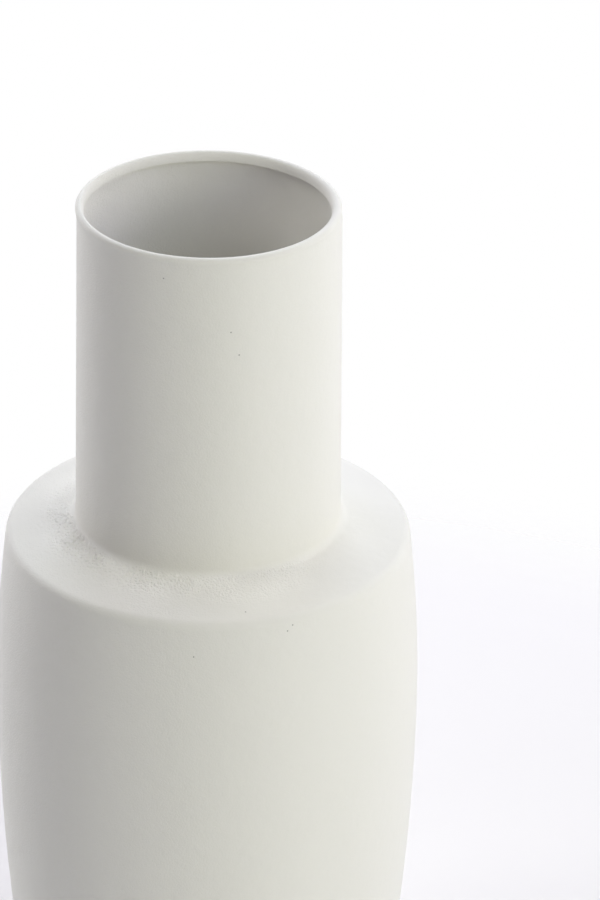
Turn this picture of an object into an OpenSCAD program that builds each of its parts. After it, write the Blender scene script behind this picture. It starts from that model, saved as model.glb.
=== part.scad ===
// Tall sheet-metal vase: a rolled neck, a sloping shoulder and a barrel-shaped body.
// Four formed sheets are butt welded and ground flush outside, and stand on four pads.
// Z is up. The origin is on the table, under the axis of the vase.

/* [Overall] */
// Height from the table to the top of the rim
total_h = 466; // [440:1:520]
// Thickness of the steel sheet
sheet_t = 1; // [0.6:0.1:1.4]

/* [Neck] */
// Outside diameter of the neck at the rim
neck_d = 126; // [110:0.5:134]
// Outside diameter of the neck where it meets the shoulder
neck_root_d = 130; // [122:0.5:136]
// Height of the neck, from the shoulder's slope to the top of the rim
neck_h = 166; // [140:0.5:185]
// Width of the curl that the top edge is turned inwards into
rim_curl_w = 4.5; // [4:0.1:6]
// How far the turned-in edge runs straight down from the curl
rim_leg_h = 2.1; // [1:0.1:4]
// How far the curl stands out of the neck's outer wall
rim_proud = 0.3; // [0.1:0.05:0.4]

/* [Shoulder] */
// How far the side draws in, on each side, from the belly up to where it would meet the shoulder's slope
shoulder_draw = 6; // [3:0.5:12]
// How far the shoulder falls from the neck to where it would meet the side
shoulder_fall = 7.3; // [4:0.1:12]
// Outside radius of the bend between the shoulder and the side
shoulder_bend_r = 7.4; // [4:0.1:9]
// Outside radius of the hollow at the neck's root
root_hollow_r = 7; // [4:0.1:8.5]
// Height of the collar that is turned up out of the shoulder to meet the neck
collar_h = 10; // [9:0.5:16]
// Depth of the skirt that is turned down to meet the body
skirt_h = 14; // [12:0.5:24]

/* [Body] */
// Largest diameter of the body
belly_d = 210; // [207:0.5:216]
// Drop from the shoulder's edge to the largest diameter
belly_drop = 93.7; // [80:0.1:130]
// How far the side draws in, on each side, from the belly down to the body's bottom edge
foot_draw = 15; // [8:0.5:22]

/* [Base] */
// How far the base plate is let in above the body's bottom edge
base_recess = 1.5; // [1:0.1:3]
// Clearance between the base plate's edge and the body
plate_gap = 0.15; // [0.1:0.05:0.3]
// Height that the middle of the base plate is pressed up by
dish_h = 2.5; // [2:0.1:5]
// Inside radius of the two bends of the pressed step
dish_bend_r = 2; // [1:0.1:2.4]
// Width of the flat ring between the pressed step and the plate's edge
land_w = 24; // [20:0.5:34]

/* [Welds] */
// Width of the weld between two sheets
weld_w = 2.4; // [1.6:0.1:3.2]
// How far the root of a weld stands out of the inner wall
weld_root_h = 0.6; // [0.3:0.1:0.8]
// Width of the fillet weld under the base plate's edge
base_weld_w = 2; // [1:0.1:3]

/* [Pads] */
// Diameter of a pad
pad_d = 14; // [8:0.5:18]
// Thickness of a pad
pad_t = 3.5; // [3:0.1:5]

/* [Hidden] */

paint_colour = "#e4e2d8";
pad_colour = "#b9b4aa";
turn_steps = 180;
bend_steps = 72;
sweep_steps = 1440;

// Half sizes, in the plane of one half of the section
neck_r = neck_d / 2;
root_r = neck_root_d / 2;
belly_r = belly_d / 2;
shoulder_r = belly_r - shoulder_draw;
curl_r = rim_curl_w / 2;
curl_in_r = curl_r - sheet_t;

// Heights
foot_z = pad_t - base_recess;
plate_z = pad_t;
root_z = total_h - neck_h;
edge_z = root_z - shoulder_fall;
belly_h = edge_z - belly_drop;
curl_z = total_h - curl_r;
neck_seam_z = root_z + collar_h;
body_seam_z = edge_z - skirt_h;

// Directions: the outward normals of the neck's wall and of the shoulder's slope
neck_angle = atan2(root_r - neck_r, neck_h);
slope_angle = atan2(shoulder_fall, shoulder_r - root_r);
neck_out = [cos(neck_angle), sin(neck_angle)];
slope_out = [sin(slope_angle), cos(slope_angle)];
slope_in = [-cos(slope_angle), sin(slope_angle)];

// The side is two arcs that meet at the belly
upper_r = (belly_drop * belly_drop + shoulder_draw * shoulder_draw) / (2 * shoulder_draw);
upper_c = [belly_r - upper_r, belly_h];
lower_rise = belly_h - foot_z;
lower_r = (lower_rise * lower_rise + foot_draw * foot_draw) / (2 * foot_draw);
lower_c = [belly_r - lower_r, belly_h];

// Centre of the bend, which touches the slope and the upper arc from inside
edge_corner = [shoulder_r, edge_z];
bend_q = edge_corner - shoulder_bend_r * slope_out - upper_c;
bend_reach = upper_r - shoulder_bend_r;
bend_s = -bend_q * slope_in - sqrt(pow(bend_q * slope_in, 2) - bend_q * bend_q + pow(bend_reach, 2));
bend_c = upper_c + bend_q + bend_s * slope_in;
bend_out = (bend_c - upper_c) / norm(bend_c - upper_c);

// Angle below the curl's centre down to which the curl is round on its outer side
curl_foot = acos(1 - rim_proud * (1 / curl_r + 1 / curl_in_r) / 2);
curl_foot_z = curl_z - curl_in_r * sin(curl_foot);

// Centre of the hollow, which touches the neck and the slope from outside
root_corner = [root_r, root_z];
hollow_c = root_corner + root_hollow_r / (1 + neck_out * slope_out) * (neck_out + slope_out);

// Base plate: its edge, the step round its pressed-up middle, and the centres of the step's bends
plate_r = lower_c[0] + sqrt(pow(lower_r - sheet_t - plate_gap, 2) - pow(plate_z - belly_h, 2));
dish_r = plate_r - land_w - dish_h;
half_step = tan(45 / 2);
step_out = [sqrt(1 / 2), sqrt(1 / 2)];
straight_up = [0, 1];
step_foot_r = dish_bend_r + sheet_t;
step_foot_c = [dish_r + dish_h + half_step * step_foot_r, plate_z + step_foot_r];
step_head_c = [dish_r - half_step * dish_bend_r, plate_z + dish_h - dish_bend_r];

// The pads sit in the middle of the flat ring
pad_ring_r = plate_r - land_w / 2;
pad_turn = 90;

// Radius of the neck's wall and of the side's two arcs at a height, pulled in by inset
function neck_wall_r(z, inset) =
    root_r - (z - root_z) * (root_r - neck_r) / neck_h - inset / cos(neck_angle);
function upper_wall_r(z, inset) = upper_c[0] + sqrt(pow(upper_r - inset, 2) - pow(z - belly_h, 2));
function lower_wall_r(z, inset) = lower_c[0] + sqrt(pow(lower_r - inset, 2) - pow(z - belly_h, 2));

// Region right of the axis between two heights
module band(low_z, high_z) {
    translate([0, low_z])
        square([belly_d, high_z - low_z]);
}

// Corner between two directions at a centre, outside a bend of radius r
module outside_bend(centre, dir_a, dir_b, r, reach) {
    difference() {
        polygon([centre, centre + reach * dir_a, centre + reach * (dir_a + dir_b), centre + reach * dir_b]);
        translate(centre)
            circle(r = r, $fn = bend_steps);
    }
}

// Barrel inside the two side arcs, pulled in from the outer face by inset
module barrel(inset) {
    intersection() {
        translate(upper_c)
            circle(r = upper_r - inset, $fn = sweep_steps);
        band(belly_h, total_h);
    }
    intersection() {
        translate(lower_c)
            circle(r = lower_r - inset, $fn = sweep_steps);
        band(0, belly_h);
    }
}

// Everything under the shoulder's slope, pulled in by inset
module under_slope(inset) {
    top = root_corner - inset * slope_out + root_r / cos(slope_angle) * slope_in;
    low = top - belly_d / cos(slope_angle) * slope_in;
    polygon([[0, 0], [low[0], 0], low, top]);
}

// Everything inside the neck's wall, pulled in by inset
module inside_neck(inset) {
    polygon([
        [0, edge_z],
        [neck_wall_r(edge_z, inset), edge_z],
        [neck_wall_r(total_h, inset), total_h],
        [0, total_h]
    ]);
}

// Section of the whole vase, as if it were solid, pulled in by inset
module outline(inset) {
    difference() {
        intersection() {
            barrel(inset);
            under_slope(inset);
        }
        outside_bend(bend_c, slope_out, bend_out, shoulder_bend_r - inset, 2 * shoulder_bend_r);
    }
    inside_neck(inset);
    outside_bend(hollow_c, -neck_out, -slope_out, root_hollow_r + inset, root_hollow_r + 2 * sheet_t);
}

// Section of the sheet between two heights
module sheet(low_z, high_z) {
    intersection() {
        difference() {
            outline(0);
            outline(sheet_t);
        }
        band(low_z, high_z);
    }
}

// Top edge, turned inwards over a half circle, with its cut end pointing straight down
module curled_rim() {
    foot_dir = [cos(curl_foot), -sin(curl_foot)];
    translate([neck_wall_r(curl_z, 0) + rim_proud - curl_r, curl_z]) {
        difference() {
            circle(r = curl_r, $fn = bend_steps);
            circle(r = curl_in_r, $fn = bend_steps);
            polygon([
                [0, 0],
                rim_curl_w * foot_dir,
                [rim_curl_w, -2 * rim_curl_w],
                [-rim_curl_w, -2 * rim_curl_w],
                [-rim_curl_w, 0]
            ]);
        }
        translate([-curl_r, -rim_leg_h])
            square([sheet_t, rim_leg_h]);
    }
}

// Weld between two sheets, from its lower to its upper height: flush outside, with a low
// root bead on the inner wall. The walls are given by their radii at both heights.
module seam_weld(low_z, outer_low_r, outer_high_r, inner_low_r, inner_high_r) {
    root_bead_r = (weld_w * weld_w / 4 + weld_root_h * weld_root_h) / (2 * weld_root_h);
    inner_r = (inner_low_r + inner_high_r) / 2;
    rotate_extrude($fn = turn_steps)
        union() {
            polygon([
                [inner_low_r, low_z],
                [outer_low_r, low_z],
                [outer_high_r, low_z + weld_w],
                [inner_high_r, low_z + weld_w]
            ]);
            intersection() {
                translate([inner_r - weld_root_h + root_bead_r, low_z + weld_w / 2])
                    circle(r = root_bead_r, $fn = bend_steps);
                translate([inner_r - weld_w, low_z])
                    square([weld_w + sheet_t / 2, weld_w]);
            }
        }
}

// Everything above the base plate's underside, raised by inset
module above_plate(inset) {
    head_r = dish_bend_r + inset;
    foot_r = step_foot_r - inset;
    difference() {
        union() {
            polygon([
                [0, plate_z + dish_h + inset],
                step_head_c + head_r * straight_up,
                step_head_c + head_r * step_out,
                step_foot_c - foot_r * step_out,
                step_foot_c - foot_r * straight_up,
                [plate_r, plate_z + inset],
                [plate_r, belly_h],
                [0, belly_h]
            ]);
            translate(step_foot_c)
                circle(r = foot_r, $fn = bend_steps);
        }
        translate(step_head_c)
            circle(r = head_r, $fn = bend_steps);
    }
}

// Rolled tube with its top edge curled inwards
module neck_tube() {
    color(paint_colour)
        rotate_extrude($fn = turn_steps)
            union() {
                sheet(neck_seam_z + weld_w, curl_foot_z);
                curled_rim();
            }
}

module neck_weld() {
    high_z = neck_seam_z + weld_w;
    color(paint_colour)
        seam_weld(
            neck_seam_z,
            neck_wall_r(neck_seam_z, 0), neck_wall_r(high_z, 0),
            neck_wall_r(neck_seam_z, sheet_t), neck_wall_r(high_z, sheet_t)
        );
}

// Spun ring: collar, hollow, slope, bend and skirt from one sheet
module shoulder() {
    color(paint_colour)
        rotate_extrude($fn = turn_steps)
            sheet(body_seam_z, neck_seam_z);
}

module shoulder_weld() {
    low_z = body_seam_z - weld_w;
    color(paint_colour)
        seam_weld(
            low_z,
            upper_wall_r(low_z, 0), upper_wall_r(body_seam_z, 0),
            upper_wall_r(low_z, sheet_t), upper_wall_r(body_seam_z, sheet_t)
        );
}

// Barrel, open at both ends
module body_shell() {
    color(paint_colour)
        rotate_extrude($fn = turn_steps)
            sheet(foot_z, body_seam_z - weld_w);
}

// Fillet weld in the corner under the base plate's edge, down to the body's bottom edge
module base_weld() {
    wall_r = lower_wall_r(plate_z, sheet_t);
    color(paint_colour)
        rotate_extrude($fn = turn_steps)
            polygon([
                [wall_r - base_weld_w, plate_z],
                [lower_wall_r(foot_z, sheet_t), foot_z],
                [wall_r, plate_z]
            ]);
}

// Flat plate let into the body, with its middle pressed up
module base_plate() {
    color(paint_colour)
        rotate_extrude($fn = turn_steps)
            difference() {
                above_plate(0);
                above_plate(sheet_t);
            }
}

// Round pad stuck under the flat ring of the base plate
module foot_pad(place) {
    color(pad_colour)
        rotate([0, 0, pad_turn * place])
            translate([pad_ring_r, 0, 0])
                cylinder(h = pad_t, d = pad_d, $fn = bend_steps);
}

neck_tube();
neck_weld();
shoulder();
shoulder_weld();
body_shell();
base_weld();
base_plate();
foot_pad(0);  // foot_pad_1
foot_pad(1);  // foot_pad_2
foot_pad(2);  // foot_pad_3
foot_pad(3);  // foot_pad_4
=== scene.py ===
import math

import bmesh
import bpy
from mathutils import Matrix, Vector, noise


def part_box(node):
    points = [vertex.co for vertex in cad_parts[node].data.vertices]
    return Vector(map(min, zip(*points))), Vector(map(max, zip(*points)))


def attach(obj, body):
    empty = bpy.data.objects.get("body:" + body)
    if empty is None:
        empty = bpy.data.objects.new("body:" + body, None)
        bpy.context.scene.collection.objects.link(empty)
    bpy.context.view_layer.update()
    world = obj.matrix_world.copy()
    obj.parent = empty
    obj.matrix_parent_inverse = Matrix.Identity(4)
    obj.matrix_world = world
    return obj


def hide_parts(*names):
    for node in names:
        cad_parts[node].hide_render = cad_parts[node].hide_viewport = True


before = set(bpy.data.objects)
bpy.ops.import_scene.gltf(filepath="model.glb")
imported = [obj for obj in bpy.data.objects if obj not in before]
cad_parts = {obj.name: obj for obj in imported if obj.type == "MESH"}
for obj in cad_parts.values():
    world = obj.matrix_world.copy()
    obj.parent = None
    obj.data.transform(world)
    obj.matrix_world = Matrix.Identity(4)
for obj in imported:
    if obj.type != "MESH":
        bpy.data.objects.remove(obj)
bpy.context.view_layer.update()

mm = 0.001
joinGap = 0.002 * mm   # vertices that a spin brings closer than this are one
print("frame loaded:", len(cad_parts), "pieces")


# Section drawing: a corner is a vertex of the half section, x is the radius and z the height.

def startSection(x, z):
    bm = bmesh.new()
    corner = bmesh.ops.create_vert(bm, co=(x, 0, z))["vert"][0]
    return bm, corner


def lineTo(bm, corner, x, z, parts=1):
    step = (Vector((x, 0, z)) - corner.co) / parts
    for part in range(parts):
        corner = bmesh.ops.extrude_vert_indiv(bm, verts=[corner])["verts"][0]
        corner.co += step
    return corner


def arcTo(bm, corner, centre, turn, parts):
    # turn is counter-clockwise, in radians, as seen with the axis of the vase on the left
    made = bmesh.ops.spin(bm, geom=[corner], cent=(centre.x, 0, centre.y), axis=(0, 1, 0),
                          dvec=(0, 0, 0), angle=-turn, steps=parts)
    return [part for part in made["geom_last"] if isinstance(part, bmesh.types.BMVert)][0]


def closeSection(bm, first, last):
    bmesh.ops.contextual_create(bm, geom=[first, last])


def spinSection(bm, steps, wedges=12):
    # one wedge is spun and then repeated round the axis, which is much quicker than one long spin
    wedge = 2 * math.pi / wedges
    bmesh.ops.spin(bm, geom=bm.verts[:] + bm.edges[:], cent=(0, 0, 0), axis=(0, 0, 1),
                   dvec=(0, 0, 0), angle=wedge, steps=steps // wedges)
    bmesh.ops.spin(bm, geom=bm.verts[:] + bm.edges[:] + bm.faces[:], cent=(0, 0, 0),
                   axis=(0, 0, 1), dvec=(0, 0, 0), angle=2 * math.pi - wedge, steps=wedges - 1,
                   use_duplicate=True)
    bmesh.ops.remove_doubles(bm, verts=bm.verts, dist=joinGap)
    bmesh.ops.recalc_face_normals(bm, faces=bm.faces)


def finishPiece(name, bm, material, node, sharpAngle=40):
    # edges that turn by more than sharpAngle, in degrees, stay hard
    for face in bm.faces:
        face.smooth = True
    for edge in bm.edges:
        if len(edge.link_faces) == 2:
            edge.smooth = edge.calc_face_angle(0) < math.radians(sharpAngle)
    mesh = bpy.data.meshes.new(name)
    bm.to_mesh(mesh)
    bm.free()
    mesh.materials.append(material)
    piece = bpy.data.objects.new(name, mesh)
    bpy.context.scene.collection.objects.link(piece)
    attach(piece, "root")
    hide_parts(node)
    print(name, "-", len(mesh.polygons), "faces")


def facing(arrow):
    return math.atan2(arrow.y, arrow.x)


def direction(angle):
    return Vector((math.cos(angle), math.sin(angle)))


def smoothStep(low, high, value):
    share = min(max((value - low) / (high - low), 0), 1)
    return share * share * (3 - 2 * share)


# Materials

def toLinear(hexColour):
    parts = [int(hexColour[place:place + 2], 16) / 255 for place in (1, 3, 5)]
    return [part / 12.92 if part <= 0.04045 else ((part + 0.055) / 1.055) ** 2.4
            for part in parts] + [1]


def addNode(tree, kind, settings=None, links=None):
    # settings are properties or input values by name, links join an input to another node's output
    node = tree.nodes.new(kind)
    for key, value in (settings or {}).items():
        if isinstance(key, str) and hasattr(node, key):
            setattr(node, key, value)
        else:
            node.inputs[key].default_value = value
    for key, (source, output) in (links or {}).items():
        tree.links.new(source.outputs[output], node.inputs[key])
    return node


def newMaterial(name):
    material = bpy.data.materials.new(name)
    material.use_nodes = True
    material.node_tree.nodes.clear()
    return material, material.node_tree


def inMillimetres(tree):
    place = addNode(tree, "ShaderNodeTexCoord")
    return addNode(tree, "ShaderNodeMapping", {"Scale": (1 / mm, 1 / mm, 1 / mm)},
                   {"Vector": (place, "Object")})


def addNoise(tree, inMm, size, settings):
    return addNode(tree, "ShaderNodeTexNoise", {"Scale": 1 / size, **settings},
                   {"Vector": (inMm, "Vector")})


def addBump(tree, height, strength, depth, under=None):
    # depth is in mm, under is the bump that this one lies on
    links = {"Height": height}
    if under is not None:
        links["Normal"] = (under, "Normal")
    return addNode(tree, "ShaderNodeBump", {"Strength": strength, "Distance": depth * mm}, links)


coat = {
    "colour": "#e9e7de",        # warm off-white, dry matt
    "porePaintedShadeColour": "#e8e6dd",    # painted shade: the hollows between the grains are coloured a shade darker
    "poreRange": (0.35, 0.6),   # height of the grain over which the painted shade of a hollow goes over to the coat's own colour
    "roughness": 0.82,
    "specular": 0.35,
    "ior": 1.5,
    "grain": 0.9,               # mm, texture powder grain
    "grainNoise": {"Detail": 3.0, "Roughness": 0.6},
    "grainStrength": 1.0,
    "grainHeight": 0.16,        # mm
    "grainEdges": (-25, 25),    # mm along X, between which the grain gets finer
    "grainShares": (1.6, 0.4),  # of its height, on either side of them
    "peel": 7.0,                # mm, slow waves left as the coat flowed
    "peelNoise": {"Detail": 1.0},
    "peelStrength": 0.8,
    "peelHeight": 0.25,         # mm
    "sand": 1.0,                # mm, coarser grain where the powder piled up dry
    "sandNoise": {"Detail": 2.0},
    "sandStrength": 1.0,
    "sandHeight": 0.65,         # mm
    "sandPaintedLightColour": "#efede4",    # painted light: the rough ring round the neck's root is coloured a little whiter
    "pitColour": "#aaa79f",     # shadow at the bottom of a pinhole
    "pitRadius": 0.5,           # mm
    "pitFloor": 0.4,            # share of the radius that is flat and fully dark
    "pitStrength": 0.6,
    "pitDepth": 0.2,            # mm
    "pitSpacing": 55,           # mm between stray pinholes
    # mm, pinholes listed one by one
    "pits": [(-19.8, -59.9, 454.7), (15.5, -61.7, 416.6), (11.6, -62.4, 428.6),
             (-4.3, -100.8, 276.2), (42.3, -90.1, 288.3), (39.9, -91.5, 285.8),
             (-26.1, -60.4, 302.3), (19.9, -89.0, 294.4)],
}


def findPits(tree, inMm):
    # 0 at the bottom of a pinhole, 1 away from them all
    stray = addNode(tree, "ShaderNodeTexVoronoi", {"Scale": 1 / coat["pitSpacing"]},
                    {"Vector": (inMm, "Vector")})
    nearest = addNode(tree, "ShaderNodeMath", {"operation": "MULTIPLY", 1: coat["pitSpacing"]},
                      {0: (stray, "Distance")})
    for pit in coat["pits"]:
        far = addNode(tree, "ShaderNodeVectorMath", {"operation": "DISTANCE", 1: pit},
                      {0: (inMm, "Vector")})
        nearest = addNode(tree, "ShaderNodeMath", {"operation": "MINIMUM"},
                          {0: (nearest, "Value"), 1: (far, "Value")})
    return addNode(tree, "ShaderNodeMapRange",
                   {"interpolation_type": "SMOOTHSTEP",
                    "From Min": coat["pitFloor"] * coat["pitRadius"],
                    "From Max": coat["pitRadius"]}, {"Value": (nearest, "Value")})


def thinGrain(tree, inMm, grain):
    # the powder went on coarser towards -X
    split = addNode(tree, "ShaderNodeSeparateXYZ", None, {"Vector": (inMm, "Vector")})
    low, high = coat["grainEdges"]
    coarse, fine = coat["grainShares"]
    share = addNode(tree, "ShaderNodeMapRange",
                    {"interpolation_type": "SMOOTHSTEP", "From Min": low, "From Max": high,
                     "To Min": coarse, "To Max": fine}, {"Value": (split, "X")})
    return addNode(tree, "ShaderNodeMath", {"operation": "MULTIPLY"},
                   {0: (grain, "Fac"), 1: (share, "Result")})


def colourCoat(tree, grain, piled, pits):
    poreEnd, coatStart = coat["poreRange"]
    shade = addNode(tree, "ShaderNodeMapRange", {"From Min": poreEnd, "From Max": coatStart},
                    {"Value": (grain, "Fac")})
    # painted shade in the hollows between the grains
    grained = addNode(tree, "ShaderNodeMix",
                      {"data_type": "RGBA", 6: toLinear(coat["porePaintedShadeColour"]),
                       7: toLinear(coat["colour"])}, {0: (shade, "Result")})
    # painted light: a little whiter over the rough ring
    sanded = addNode(tree, "ShaderNodeMix",
                     {"data_type": "RGBA", 7: toLinear(coat["sandPaintedLightColour"])},
                     {0: (piled, "Fac"), 6: (grained, 2)})
    return addNode(tree, "ShaderNodeMix",
                   {"data_type": "RGBA", 6: toLinear(coat["pitColour"])},
                   {0: (pits, "Result"), 7: (sanded, 2)})


def makePowderCoat(name):
    # Fine-texture polyester powder, sprayed dry and baked: dead matt, sandy up close
    material, tree = newMaterial(name)
    inMm = inMillimetres(tree)
    grain = addNoise(tree, inMm, coat["grain"], coat["grainNoise"])
    peel = addNoise(tree, inMm, coat["peel"], coat["peelNoise"])
    sand = addNoise(tree, inMm, coat["sand"], coat["sandNoise"])
    piled = addNode(tree, "ShaderNodeAttribute", {"attribute_name": "sandy"})
    sandy = addNode(tree, "ShaderNodeMath", {"operation": "MULTIPLY"},
                    {0: (sand, "Fac"), 1: (piled, "Fac")})
    pits = findPits(tree, inMm)
    bump = addBump(tree, (thinGrain(tree, inMm, grain), "Value"), coat["grainStrength"],
                   coat["grainHeight"])
    bump = addBump(tree, (peel, "Fac"), coat["peelStrength"], coat["peelHeight"], bump)
    bump = addBump(tree, (sandy, "Value"), coat["sandStrength"], coat["sandHeight"], bump)
    bump = addBump(tree, (pits, "Result"), coat["pitStrength"], coat["pitDepth"], bump)
    colour = colourCoat(tree, grain, piled, pits)
    shader = addNode(tree, "ShaderNodeBsdfPrincipled",
                     {"Roughness": coat["roughness"], "Specular IOR Level": coat["specular"],
                      "IOR": coat["ior"]}, {"Base Color": (colour, 2), "Normal": (bump, "Normal")})
    addNode(tree, "ShaderNodeOutputMaterial", None, {"Surface": (shader, "BSDF")})
    return material


felt = {
    "colour": "#b9b4aa",
    "fleckColour": "#96918a",
    "roughness": 1.0,
    "specular": 0.1,
    "sheen": 0.3,
    "fibre": 0.5,               # mm
    "fibreNoise": {"Detail": 6.0, "Roughness": 0.75, "Distortion": 2.0},
    "fibreStrength": 0.8,
    "fibreHeight": 0.2,         # mm
}


def makeWoolFelt(name):
    # Pressed wool felt: fuzzy, mottled, no gloss
    material, tree = newMaterial(name)
    fibres = addNoise(tree, inMillimetres(tree), felt["fibre"], felt["fibreNoise"])
    bump = addBump(tree, (fibres, "Fac"), felt["fibreStrength"], felt["fibreHeight"])
    colour = addNode(tree, "ShaderNodeMix",
                     {"data_type": "RGBA", 6: toLinear(felt["fleckColour"]),
                      7: toLinear(felt["colour"])}, {0: (fibres, "Fac")})
    shader = addNode(tree, "ShaderNodeBsdfPrincipled",
                     {"Roughness": felt["roughness"], "Specular IOR Level": felt["specular"],
                      "Sheen Weight": felt["sheen"]},
                     {"Base Color": (colour, 2), "Normal": (bump, "Normal")})
    addNode(tree, "ShaderNodeOutputMaterial", None, {"Surface": (shader, "BSDF")})
    return material


powderCoat = makePowderCoat("fine_texture_powder_coat")
weldCoat = makePowderCoat("powder_coat_over_ground_weld")
woolFelt = makeWoolFelt("pressed_wool_felt")
print("materials made")


# The one section that the formed sheets share

vase = {
    "sheet": 1.0 * mm,
    "rimRadius": 63.0 * mm,      # neck's wall at the top
    "rootRadius": 65.0 * mm,     # neck's wall at the shoulder
    "neckHeight": 166.0 * mm,
    "shoulderDraw": 6.0 * mm,
    "shoulderFall": 7.3 * mm,
    "bendRadius": 5.0 * mm,
    "hollowRadius": 4.5 * mm,
    "bellyDrop": 93.7 * mm,
    "footDraw": 15.0 * mm,
    "steps": 360,                # of a plain spin
}

sheet = vase["sheet"]
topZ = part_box("neck_tube")[1].z
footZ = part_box("body_shell")[0].z
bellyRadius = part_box("body_shell")[1].x
rootZ = topZ - vase["neckHeight"]
edgeZ = rootZ - vase["shoulderFall"]
bellyZ = edgeZ - vase["bellyDrop"]

neckTilt = math.atan2(vase["rootRadius"] - vase["rimRadius"], vase["neckHeight"])
slopeRun = bellyRadius - vase["shoulderDraw"] - vase["rootRadius"]
slopeTilt = math.atan2(vase["shoulderFall"], slopeRun)
neckOut = direction(neckTilt)
slopeOut = direction(math.pi / 2 - slopeTilt)
slopeIn = direction(math.pi - slopeTilt)


def sideRadius(draw, rise):
    return (rise * rise + draw * draw) / (2 * draw)


upperRadius = sideRadius(vase["shoulderDraw"], vase["bellyDrop"])
lowerRadius = sideRadius(vase["footDraw"], bellyZ - footZ)
upperCentre = Vector((bellyRadius - upperRadius, bellyZ))
lowerCentre = Vector((bellyRadius - lowerRadius, bellyZ))

bendRadius = vase["bendRadius"]
edgeCorner = Vector((bellyRadius - vase["shoulderDraw"], edgeZ))
reach = edgeCorner - bendRadius * slopeOut - upperCentre
along = -reach.dot(slopeIn) - math.sqrt(reach.dot(slopeIn) ** 2 - reach.dot(reach)
                                        + (upperRadius - bendRadius) ** 2)
bendCentre = upperCentre + reach + along * slopeIn
bendOut = (bendCentre - upperCentre).normalized()

hollowRadius = vase["hollowRadius"]
rootCorner = Vector((vase["rootRadius"], rootZ))
hollowCentre = rootCorner + hollowRadius / (1 + neckOut.dot(slopeOut)) * (neckOut + slopeOut)


def neckRadius(z, inset):
    return vase["rootRadius"] - (z - rootZ) * math.tan(neckTilt) - inset / math.cos(neckTilt)


def upperTurn(z, inset):
    return math.asin((z - bellyZ) / (upperRadius - inset))


def lowerTurn(z, inset):
    return math.asin((z - bellyZ) / (lowerRadius - inset))


def onArc(centre, radius, turn):
    return centre + radius * direction(turn)


def upperWall(z, inset):
    return onArc(upperCentre, upperRadius - inset, upperTurn(z, inset)).x


def lowerWall(z, inset):
    return onArc(lowerCentre, lowerRadius - inset, lowerTurn(z, inset)).x


# Neck: rolled tube, its top edge curled inwards and down

neck = {
    "curlRadius": 2.25 * mm,
    "curlProud": 0.25 * mm,     # how far the curl stands out of the wall
    "lipDrop": 2.4 * mm,        # how far the turned-in edge comes down below a half circle
    "curlShift": 0.45 * mm,     # the curl was rolled this much off centre, towards -X
    "lipShift": 0.4 * mm,       # and its turned-in edge this much more
    "shiftBlend": 2,            # curl radii of the wall over which the shift fades out
    "lipSlack": 0.1,            # share of the curl's radius by which its ends may lie low
    "wallParts": 40,
    "curlParts": 24,
}


def makeNeckTube():
    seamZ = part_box("neck_weld")[1].z
    curlZ = topZ - neck["curlRadius"]
    outer, inner = neck["curlRadius"], neck["curlRadius"] - sheet
    centre = Vector((neckRadius(curlZ, 0) + neck["curlProud"] - outer, curlZ))
    outerStart = -math.acos(1 - neck["curlProud"] / outer)
    innerStart = -math.acos(1 - neck["curlProud"] / inner)
    outerFoot = onArc(centre, outer, outerStart)
    bm, first = startSection(neckRadius(seamZ, 0), seamZ)
    corner = lineTo(bm, first, outerFoot.x, outerFoot.y, neck["wallParts"])
    corner = arcTo(bm, corner, centre, math.pi - outerStart, neck["curlParts"])
    corner = lineTo(bm, corner, centre.x - inner, curlZ)
    corner = arcTo(bm, corner, centre, innerStart - math.pi, neck["curlParts"])
    corner = lineTo(bm, corner, neckRadius(seamZ, sheet), seamZ, neck["wallParts"])
    closeSection(bm, first, corner)
    for vert in bm.verts:
        away = Vector((vert.co.x, vert.co.z)) - centre
        if away.x < 0 and away.y > -outer * neck["lipSlack"]:
            vert.co.z += (away.y / away.length - 1) * neck["lipDrop"]
    spinSection(bm, vase["steps"])
    for vert in bm.verts:
        inward = smoothStep(0, inner, centre.x - vert.co.xy.length)
        upward = smoothStep(curlZ - neck["shiftBlend"] * outer, curlZ, vert.co.z)
        vert.co.x -= neck["curlShift"] * max(inward, upward) + neck["lipShift"] * inward
    finishPiece("neck_tube_curled", bm, powderCoat, "neck_tube")


makeNeckTube()


# Shoulder: spun ring, with the coat gone on rough round the neck's root

shoulder = {
    "steps": 1080,
    # parts of the hollow, the rough slope, the bend and the skirt
    "outerParts": (8, 44, 10, 3),
    "innerParts": (4, 1, 5, 2),
    "pebbleSize": 1.1 * mm,
    "pebbleHeight": 0.55 * mm,
    "pebbleStart": 65.0 * mm,     # radius where the rough ring begins
    "pebbleFull": 67.5 * mm,
    "pebbleFade": 73.0 * mm,
    "pebbleEnd": 89.0 * mm,
    "pebbleFacing": 0.3,          # they lie on faces that look up at least this much
    "pebbleSide": (-0.87, -0.5),  # the side where the ring is roughest
    "sideEdges": (-0.55, 0.0),    # share of that side where the ring sets in and is whole
    "sideShares": (1.1, 0.25),    # how rough it is across that side, and how much more on it
    "patchSize": 12 * mm,
    "patchShares": (0.85, 0.6),   # how rough a patch is on average, and how much that swings
}


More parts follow.
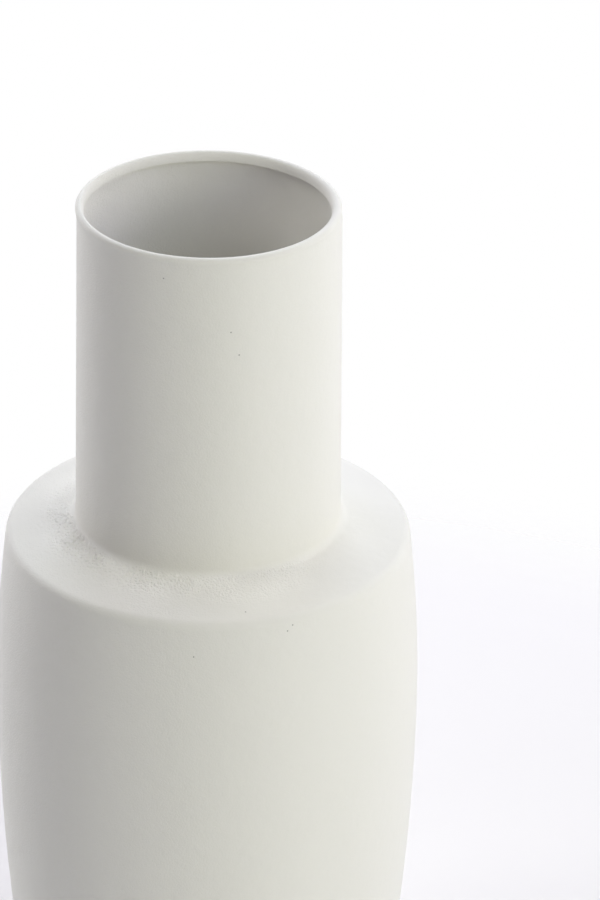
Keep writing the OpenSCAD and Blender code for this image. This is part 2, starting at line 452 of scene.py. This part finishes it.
def shoulderSide(bm, corner, inset, parts):
    # from the collar's top down to the skirt's end, at a distance inside the outer face
    hollowParts, roughParts, bendParts, skirtParts = parts
    hollow = hollowRadius + inset
    bend = bendRadius - inset
    hollowStart = hollowCentre - hollow * neckOut
    corner = lineTo(bm, corner, hollowStart.x, hollowStart.y)
    corner = arcTo(bm, corner, hollowCentre, math.pi / 2 - slopeTilt - neckTilt, hollowParts)
    slopeEnd = bendCentre + bend * slopeOut
    roughEnd = slopeEnd - (slopeEnd.x - shoulder["pebbleEnd"]) * Vector((1, -math.tan(slopeTilt)))
    corner = lineTo(bm, corner, roughEnd.x, roughEnd.y, roughParts)
    corner = lineTo(bm, corner, slopeEnd.x, slopeEnd.y)
    corner = arcTo(bm, corner, bendCentre, facing(bendOut) - facing(slopeOut), bendParts)
    skirtEnd = upperTurn(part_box("shoulder")[0].z, inset)
    return arcTo(bm, corner, upperCentre, skirtEnd - facing(bendOut), skirtParts)


def rootRoughness(radius, towards):
    rise = smoothStep(shoulder["pebbleStart"], shoulder["pebbleFull"], radius)
    fall = 1 - smoothStep(shoulder["pebbleFade"], shoulder["pebbleEnd"], radius)
    low, high = shoulder["sideEdges"]
    across, more = shoulder["sideShares"]
    return rise * fall * smoothStep(low, high, towards) * (across + more * towards)


def roughenRoot(bm):
    # pebbles of powder that piled up in the inside corner and on the slope beside it
    sandy = bm.verts.layers.float.new("sandy")
    mean, swing = shoulder["patchShares"]
    for vert in bm.verts:
        if vert.normal.z < shoulder["pebbleFacing"] or vert.co.z < edgeZ:
            continue
        radius = math.hypot(vert.co.x, vert.co.y)
        towards = Vector(shoulder["pebbleSide"]).dot(vert.co.xy) / radius
        strength = rootRoughness(radius, towards)
        if strength == 0:
            continue
        strength *= mean + swing * noise.noise(vert.co / shoulder["patchSize"])
        vert[sandy] = strength
        pebble = noise.noise(vert.co / shoulder["pebbleSize"]) * towards ** 2
        vert.co += vert.normal * pebble * strength * shoulder["pebbleHeight"]


def makeShoulder():
    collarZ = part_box("shoulder")[1].z
    bm, first = startSection(neckRadius(collarZ, 0), collarZ)
    outerEnd = shoulderSide(bm, first, 0, shoulder["outerParts"])
    innerFirst = lineTo(bm, first, neckRadius(collarZ, sheet), collarZ)
    innerEnd = shoulderSide(bm, innerFirst, sheet, shoulder["innerParts"])
    closeSection(bm, outerEnd, innerEnd)
    spinSection(bm, shoulder["steps"])
    bm.normal_update()
    roughenRoot(bm)
    finishPiece("shoulder_spun", bm, powderCoat, "shoulder")


makeShoulder()


# Body: barrel, open at both ends

body = {"upperParts": 30, "lowerParts": 60}


def bodySide(bm, corner, inset):
    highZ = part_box("body_shell")[1].z
    corner = arcTo(bm, corner, upperCentre, -upperTurn(highZ, inset), body["upperParts"])
    return arcTo(bm, corner, lowerCentre, lowerTurn(footZ, inset), body["lowerParts"])


def makeBody():
    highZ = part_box("body_shell")[1].z
    outerTop = onArc(upperCentre, upperRadius, upperTurn(highZ, 0))
    innerTop = onArc(upperCentre, upperRadius - sheet, upperTurn(highZ, sheet))
    bm, first = startSection(outerTop.x, highZ)
    outerEnd = bodySide(bm, first, 0)
    innerFirst = lineTo(bm, first, innerTop.x, highZ)
    innerEnd = bodySide(bm, innerFirst, sheet)
    closeSection(bm, outerEnd, innerEnd)
    spinSection(bm, vase["steps"])
    finishPiece("body_barrel", bm, powderCoat, "body_shell")


makeBody()


# Welds: ground flush outside, with a rippled root bead left inside

weld = {
    "rootHeight": 0.6 * mm,
    "ripplePitch": 2.2 * mm,
    "rippleDepth": 0.35,       # share of the root's height
    "rippleStart": 0.05,       # share of the root's height where the ripples set in
    "rippleTrail": 0.225,      # pitches that a ripple trails behind at the weld's edges
    "unevenShare": 0.25,
    "unevenSize": 5 * mm,
    "steps": 1080,
    "faceParts": 2,
    "rootParts": 8,
}


def rippleAt(vert, weldRadius, across):
    # 1 on a crest, -1 in a trough; across goes from -1 to 1 over the width of the weld
    pitches = round(2 * math.pi * weldRadius / weld["ripplePitch"])
    travel = facing(vert.co) * pitches / (2 * math.pi)
    return math.cos(2 * math.pi * (travel + weld["rippleTrail"] * across ** 2))


def rippleRoot(bm, middleZ, width, wallX):
    for vert in bm.verts:
        radius = math.hypot(vert.co.x, vert.co.y)
        share = (wallX - radius) / weld["rootHeight"]
        if share < weld["rippleStart"]:
            continue
        wave = rippleAt(vert, wallX, (vert.co.z - middleZ) / (width / 2))
        uneven = weld["unevenShare"] * noise.noise(vert.co / weld["unevenSize"])
        push = share * weld["rootHeight"] * weld["rippleDepth"] * ((1 + wave) / 2 + uneven)
        vert.co.xy *= (radius + push) / radius


def makeSeamWeld(name, node, wallAt):
    lowZ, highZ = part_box(node)[0].z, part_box(node)[1].z
    low, high = Vector((wallAt(lowZ, sheet), lowZ)), Vector((wallAt(highZ, sheet), highZ))
    chord = (high - low).length
    height = weld["rootHeight"]
    radius = (chord * chord / 4 + height * height) / (2 * height)
    outward = Vector((high.y - low.y, low.x - high.x)).normalized()
    centre = (high + low) / 2 + (radius - height) * outward
    bm, first = startSection(wallAt(lowZ, 0), lowZ)
    corner = lineTo(bm, first, wallAt(highZ, 0), highZ, weld["faceParts"])
    corner = lineTo(bm, corner, high.x, high.y)
    corner = arcTo(bm, corner, centre, 2 * math.asin(chord / 2 / radius), weld["rootParts"])
    closeSection(bm, first, corner)
    spinSection(bm, weld["steps"])
    rippleRoot(bm, (highZ + lowZ) / 2, highZ - lowZ, (high.x + low.x) / 2)
    finishPiece(name, bm, weldCoat, node)


makeSeamWeld("neck_weld_bead", "neck_weld", neckRadius)
makeSeamWeld("shoulder_weld_bead", "shoulder_weld", upperWall)


# Base: flat plate let into the body, its middle pressed up, with a fillet weld under its edge

base = {
    "landWidth": 24.0 * mm,
    "dishHeight": 2.5 * mm,
    "dishBend": 2.0 * mm,        # inside radius of the two bends of the pressed step
    "plateGap": 0.15 * mm,
    "weldWidth": 2.0 * mm,
    "rippleHeight": 0.12 * mm,
    "rippleEnds": (0.06, 0.94),  # shares of the weld's face between which it is rippled
    "faceSlack": 0.01 * mm,      # how far off the weld's face a vertex of it may lie
    "weldParts": 8,
    "landParts": 10,
    "bendParts": 6,
    "stepParts": 2,
    "middleParts": 16,
}

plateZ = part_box("base_plate")[0].z
plateRadius = lowerWall(plateZ, sheet + base["plateGap"])


def plateSide(bm, corner, inset):
    # from the edge in along the flat ring, up the pressed step and on to the axis
    eighth = math.pi / 4
    bend = base["dishBend"]
    headX = plateRadius - base["landWidth"] - base["dishHeight"] - bend * math.tan(eighth / 2)
    footX = plateRadius - base["landWidth"] + (bend + sheet) * math.tan(eighth / 2)
    headCentre = Vector((headX, plateZ + base["dishHeight"] - bend))
    footCentre = Vector((footX, plateZ + bend + sheet))
    corner = lineTo(bm, corner, footX, plateZ + inset, base["landParts"])
    corner = arcTo(bm, corner, footCentre, -eighth, base["bendParts"])
    stepTop = onArc(headCentre, bend + inset, eighth)
    corner = lineTo(bm, corner, stepTop.x, stepTop.y, base["stepParts"])
    corner = arcTo(bm, corner, headCentre, eighth, base["bendParts"])
    lineTo(bm, corner, 0, plateZ + base["dishHeight"] + inset, base["middleParts"])


def makeBasePlate():
    bm, first = startSection(plateRadius, plateZ)
    plateSide(bm, first, 0)
    innerFirst = lineTo(bm, first, plateRadius, plateZ + sheet)
    plateSide(bm, innerFirst, sheet)
    spinSection(bm, vase["steps"])
    finishPiece("base_plate_pressed", bm, powderCoat, "base_plate")


def makeBaseWeld():
    toe = Vector((lowerWall(plateZ, sheet) - base["weldWidth"], plateZ))
    heel = Vector((lowerWall(footZ, sheet), footZ))
    bm, first = startSection(toe.x, toe.y)
    corner = lineTo(bm, first, heel.x, heel.y, base["weldParts"])
    corner = lineTo(bm, corner, lowerWall(plateZ, sheet), plateZ)
    closeSection(bm, first, corner)
    spinSection(bm, weld["steps"])
    face = heel - toe
    outward = Vector((face.y, -face.x)).normalized()
    low, high = base["rippleEnds"]
    for vert in bm.verts:
        radius = math.hypot(vert.co.x, vert.co.y)
        place = Vector((radius, vert.co.z)) - toe
        along = place.dot(face) / face.length_squared
        if abs(place.dot(outward)) > base["faceSlack"] or along < low or along > high:
            continue
        wave = rippleAt(vert, heel.x, 2 * along - 1)
        push = outward * base["rippleHeight"] * (1 + wave) * math.sin(math.pi * along)
        vert.co.xy *= (radius + push.x) / radius
        vert.co.z += push.y
    finishPiece("base_weld_fillet", bm, weldCoat, "base_weld")


makeBasePlate()
makeBaseWeld()


# Pads: pressed felt discs, a little fuzzy and softly rounded at the edge

pad = {
    "edge": 0.4 * mm,
    "fuzz": 0.06 * mm,
    "fuzzSize": 0.6 * mm,
    "steps": 96,
    "topParts": 12,
    "sideParts": 4,
    "edgeParts": 4,
    "underParts": 14,
}


def makePad(place):
    node = "foot_pad_%d" % place
    low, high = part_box(node)
    middle = (low + high) / 2
    radius, edge = (high.x - low.x) / 2 - pad["fuzz"], pad["edge"]
    top = high.z - low.z - pad["fuzz"]
    bm, first = startSection(0, top)
    corner = lineTo(bm, first, radius, top, pad["topParts"])
    corner = lineTo(bm, corner, radius, edge + pad["fuzz"], pad["sideParts"])
    edgeCentre = Vector((radius - edge, edge + pad["fuzz"]))
    corner = arcTo(bm, corner, edgeCentre, -math.pi / 2, pad["edgeParts"])
    lineTo(bm, corner, 0, pad["fuzz"], pad["underParts"])
    spinSection(bm, pad["steps"])
    bmesh.ops.translate(bm, verts=bm.verts, vec=(middle.x, middle.y, 0))
    bm.normal_update()
    for vert in bm.verts:
        vert.co += vert.normal * pad["fuzz"] * noise.noise(vert.co / pad["fuzzSize"])
    finishPiece("felt_pad_%d" % place, bm, woolFelt, node)


for place in range(1, 5):
    makePad(place)


# Camera: a long lens that looks down on the vase from the front, as in the photo

camera = {
    "lens": 177.5,                # mm
    "sensor": 36,                 # mm
    "distance": 2.1035,           # metres to the middle of the mouth
    "farthest": 50,               # metres
    "pitch": 0.4843,              # radians, looking down
    "roll": 0.01549,              # radians
    "rimPixel": (209.7, 202.94),  # where the middle of the mouth lies in the picture
    "pictureSize": (600, 900),
}


def makeCamera():
    width, height = camera["pictureSize"]
    focal = camera["lens"] / camera["sensor"] * height
    pitch, roll = camera["pitch"], camera["roll"]
    ahead = Vector((0, math.cos(pitch), -math.sin(pitch)))
    level = Vector((1, 0, 0))
    upward = Vector((0, math.sin(pitch), math.cos(pitch)))
    right = math.cos(roll) * level + math.sin(roll) * upward
    up = math.cos(roll) * upward - math.sin(roll) * level
    column, row = camera["rimPixel"]
    ray = ahead + right * (column - width / 2) / focal - up * (row - height / 2) / focal
    data = bpy.data.cameras.new("camera")
    data.sensor_width = camera["sensor"]
    data.lens = camera["lens"]
    data.clip_end = camera["farthest"]
    shooter = bpy.data.objects.new("camera", data)
    turn = Matrix((right, up, -ahead)).transposed().to_4x4()
    spot = Vector((0, 0, topZ)) - camera["distance"] * ray.normalized()
    shooter.matrix_world = Matrix.Translation(spot) @ turn
    bpy.context.scene.collection.objects.link(shooter)
    bpy.context.scene.camera = shooter


makeCamera()


# Studio: soft discs round the vase, a white paper floor and a white room behind it

studio = {
    "aim": (0, 0, 0.3),         # metres, where the discs look
    "distance": 2.2,            # of a disc from there
    "size": 1.0,                # of a disc
    # degrees from the camera's side towards the right, degrees up, watts, colour of the light
    "discs": [
        (45, 10, 16.6, "#feffe9"),
        (225, 10, 12.8, "#fefffc"),
        (45, 30, 8.6, "#e5ecff"),
        (90, 30, 11.2, "#e3deff"),
        (135, 30, 15.9, "#fcfcff"),
        (225, 30, 11.9, "#e6e4ff"),
        (315, 30, 4.7, "#f2eaff"),
        (180, 50, 17.8, "#e5eeff"),
        (270, 50, 11.3, "#fefff9"),
        (60, 70, 6.5, "#fdfff2"),
    ],
    "floorSize": 6,             # metres, half its width
    "paper": "#eaeaea",
    "paperSeen": "#ece9e5",     # the camera sees the paper a little warmer than the vase does
    "paperFade": (0.45, 0.62),  # metres from the axis over which the paper goes over to white
}


def makeDisc(side, rise, watts, hexColour):
    side, rise = math.radians(side), math.radians(rise)
    away = Vector((math.sin(side) * math.cos(rise), -math.cos(side) * math.cos(rise),
                   math.sin(rise)))
    data = bpy.data.lights.new("soft_disc", "AREA")
    data.shape = "DISK"
    data.size = studio["size"]
    data.energy = watts
    data.color = toLinear(hexColour)[:3]
    disc = bpy.data.objects.new("soft_disc", data)
    disc.matrix_world = (Matrix.Translation(Vector(studio["aim"]) + studio["distance"] * away)
                         @ (-away).to_track_quat("-Z", "Y").to_matrix().to_4x4())
    disc.visible_camera = False
    bpy.context.scene.collection.objects.link(disc)


def makePaper():
    # Matt white paper; for the camera alone it goes over to the white room
    material, tree = newMaterial("matt_white_paper")
    place = addNode(tree, "ShaderNodeTexCoord")
    ray = addNode(tree, "ShaderNodeLightPath")
    far = addNode(tree, "ShaderNodeVectorMath", {"operation": "LENGTH"},
                  {"Vector": (place, "Object")})
    near, white = studio["paperFade"]
    fade = addNode(tree, "ShaderNodeMapRange",
                   {"interpolation_type": "SMOOTHSTEP", "From Min": near, "From Max": white},
                   {"Value": (far, "Value")})
    share = addNode(tree, "ShaderNodeMath", {"operation": "MULTIPLY"},
                    {0: (fade, "Result"), 1: (ray, "Is Camera Ray")})
    colour = addNode(tree, "ShaderNodeMix",
                     {"data_type": "RGBA", 6: toLinear(studio["paper"]),
                      7: toLinear(studio["paperSeen"])}, {0: (ray, "Is Camera Ray")})
    paper = addNode(tree, "ShaderNodeBsdfDiffuse", None, {"Color": (colour, 2)})
    gone = addNode(tree, "ShaderNodeBsdfTransparent")
    mixed = addNode(tree, "ShaderNodeMixShader", None,
                    {0: (share, "Value"), 1: (paper, "BSDF"), 2: (gone, "BSDF")})
    addNode(tree, "ShaderNodeOutputMaterial", None, {"Surface": (mixed, "Shader")})
    return material


def makeFloor():
    bm = bmesh.new()
    bmesh.ops.create_grid(bm, x_segments=1, y_segments=1, size=studio["floorSize"])
    mesh = bpy.data.meshes.new("floor")
    bm.to_mesh(mesh)
    bm.free()
    mesh.materials.append(makePaper())
    floor = bpy.data.objects.new("floor", mesh)
    bpy.context.scene.collection.objects.link(floor)


def makeRoom():
    # white to the camera, dark to the vase, which only the discs light
    world = bpy.data.worlds.new("studio")
    world.use_nodes = True
    tree = world.node_tree
    tree.nodes.clear()
    ray = addNode(tree, "ShaderNodeLightPath")
    background = addNode(tree, "ShaderNodeBackground", {"Color": (1, 1, 1, 1)},
                         {"Strength": (ray, "Is Camera Ray")})
    addNode(tree, "ShaderNodeOutputWorld", None, {"Surface": (background, "Background")})
    bpy.context.scene.world = world


for disc in studio["discs"]:
    makeDisc(*disc)
makeFloor()
makeRoom()
print("studio made:", len(studio["discs"]), "lights")

bpy.context.scene.view_settings.view_transform = "Standard"
